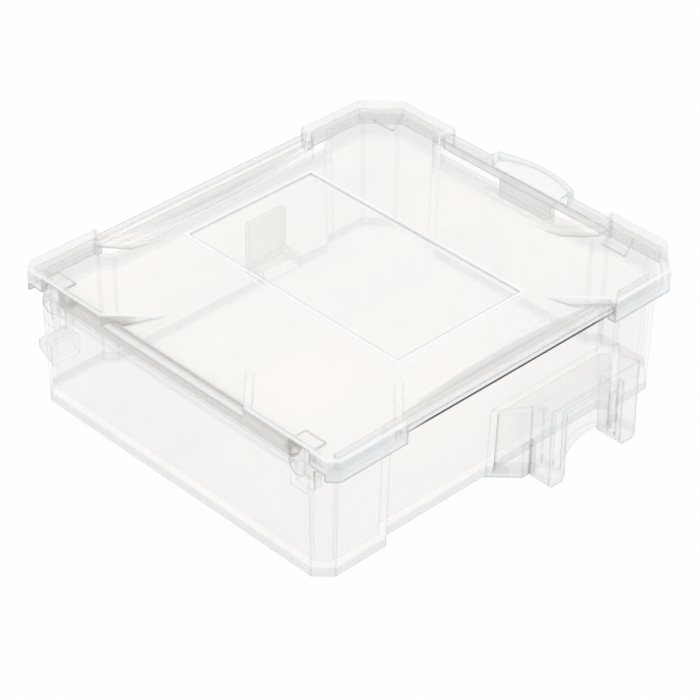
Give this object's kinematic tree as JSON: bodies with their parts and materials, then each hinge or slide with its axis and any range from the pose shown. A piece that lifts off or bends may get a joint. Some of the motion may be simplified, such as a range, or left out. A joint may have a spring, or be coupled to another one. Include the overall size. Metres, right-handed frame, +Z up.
{
  "type": "small parts storage box",
  "caption": "Shallow frosted see-through plastic parts box with a hinged lid, scooped lid edges, a thumb tab, a bare label panel and a side clip that joins boxes in a row.",
  "frame": {"origin": "on the table, below the middle of the lid's outline", "axes": "+Z up; +Y from the thumb tab to the hinge; -X to the side with the clip"},
  "size_m": [0.0926, 0.0993, 0.0302],
  "materials": {
    "frosted_plastic": "frosted see-through polypropylene, satin, as moulded"
  },
  "bodies": {
    "tray": {"tray": "frosted_plastic"},
    "lid": {"lid": "frosted_plastic"}
  },
  "joints": [
    {"name": "lid_hinge", "type": "hinge", "parent": "tray", "child": "lid", "pos_m": [0, 0.046, 0.026], "axis": [-1, 0, 0], "range_deg": [0, 100]}
  ]
}
